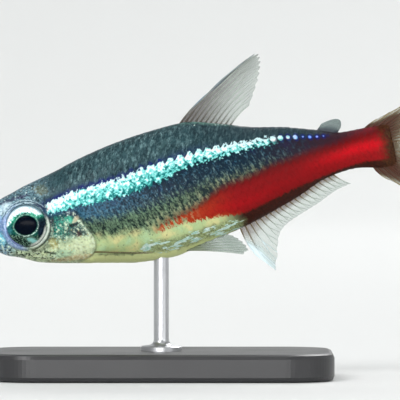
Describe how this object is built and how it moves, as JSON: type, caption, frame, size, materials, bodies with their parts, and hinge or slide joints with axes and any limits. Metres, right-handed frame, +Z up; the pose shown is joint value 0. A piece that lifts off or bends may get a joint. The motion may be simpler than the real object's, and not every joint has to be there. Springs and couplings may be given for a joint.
{
  "type": "neon tetra fish model on a display stand",
  "caption": "Still, life-size model of a neon tetra swimming nose down, with forked tail fin and separate fins, held over a flat base by one short rod.",
  "frame": {"origin": "centre of the underside of the stand's base, on the surface the stand rests on", "axes": "+X from the snout towards the tail fin, +Y towards the fish's right side, +Z up"},
  "size_m": [0.0353, 0.014, 0.0236],
  "materials": {
    "skin": "wet, scaled skin: dark olive back, bright blue stripe, red rear band, silvery belly",
    "eye": "glossy black pupil in a silver and green iris",
    "fin": "thin, nearly clear membrane with fine rays",
    "stand_base": "satin black",
    "stand_rod": "brushed"
  },
  "bodies": {
    "root": {"head": "skin", "trunk": "skin", "tail_stalk": "skin", "gill_cover_left": "skin", "gill_cover_right": "skin", "eye_left": "eye", "eye_right": "eye", "dorsal_fin": "fin", "adipose_fin": "fin", "anal_fin": "fin", "caudal_fin_upper": "fin", "caudal_fin_lower": "fin", "pectoral_fin_left": "fin", "pectoral_fin_right": "fin", "pelvic_fin_left": "fin", "pelvic_fin_right": "fin", "stand_base": "stand_base", "stand_rod": "stand_rod"}
  },
  "joints": []
}
